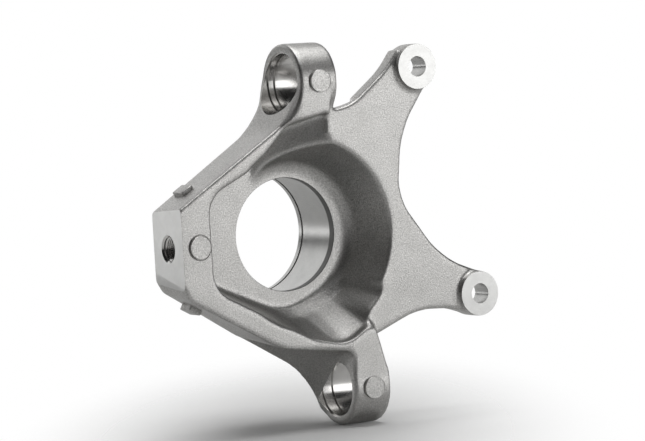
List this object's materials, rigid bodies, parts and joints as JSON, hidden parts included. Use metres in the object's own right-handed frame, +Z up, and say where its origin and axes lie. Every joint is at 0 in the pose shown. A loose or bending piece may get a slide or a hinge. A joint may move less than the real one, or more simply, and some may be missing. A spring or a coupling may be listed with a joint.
{
  "type": "steering knuckle",
  "caption": "Cast and machined aluminium steering knuckle with a wheel-bearing bore, joint bosses, a steering-arm pad and a caliper plate.",
  "frame": {"origin": "centre of the wheel-bearing bore, at the face of its inner lip", "axes": "+Y along the wheel-bearing bore towards the wheel, +X along both joint bores away from the steering-arm pad, +Z up"},
  "size_m": [0.2412, 0.094, 0.2578],
  "materials": {
    "cast_aluminium": "shot-blasted casting with machined bores and faces"
  },
  "bodies": {
    "root": {"knuckle": "cast_aluminium"}
  },
  "joints": []
}
